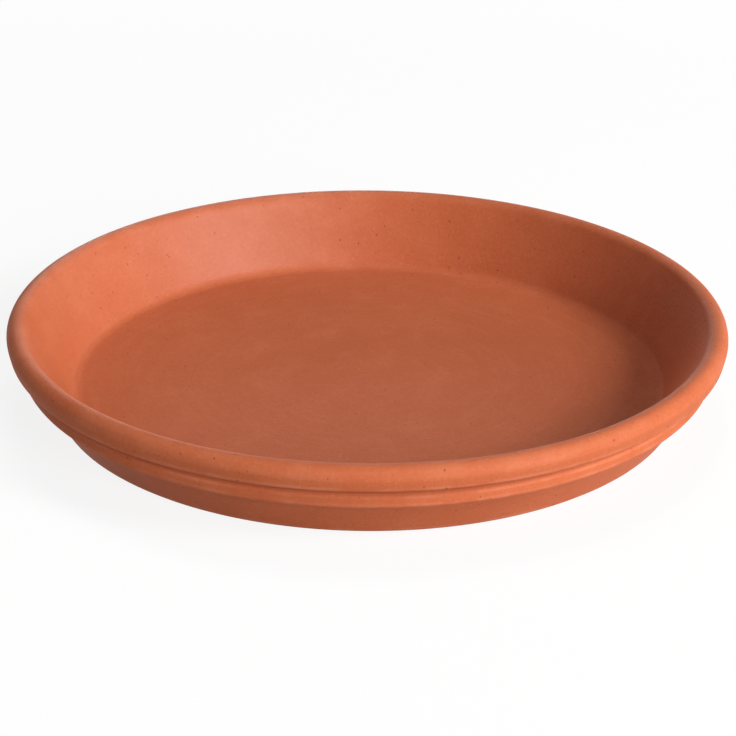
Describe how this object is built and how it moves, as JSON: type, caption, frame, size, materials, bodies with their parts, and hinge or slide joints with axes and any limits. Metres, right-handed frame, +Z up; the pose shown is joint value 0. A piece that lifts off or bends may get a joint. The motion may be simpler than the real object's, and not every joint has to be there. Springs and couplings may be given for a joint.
{
  "type": "plant saucer",
  "caption": "Round unglazed terracotta plant saucer: flat floor, flared wall, thick rolled lip, and a grooved band standing proud under the lip.",
  "frame": {"origin": "centre of the foot, on the ground", "axes": "+Z up, along the saucer's own axis; +X and +Y are any two square directions, because the saucer is the same all round"},
  "size_m": [0.3, 0.3, 0.0365],
  "materials": {
    "terracotta": "matte"
  },
  "bodies": {
    "root": {"saucer": "terracotta"}
  },
  "joints": []
}
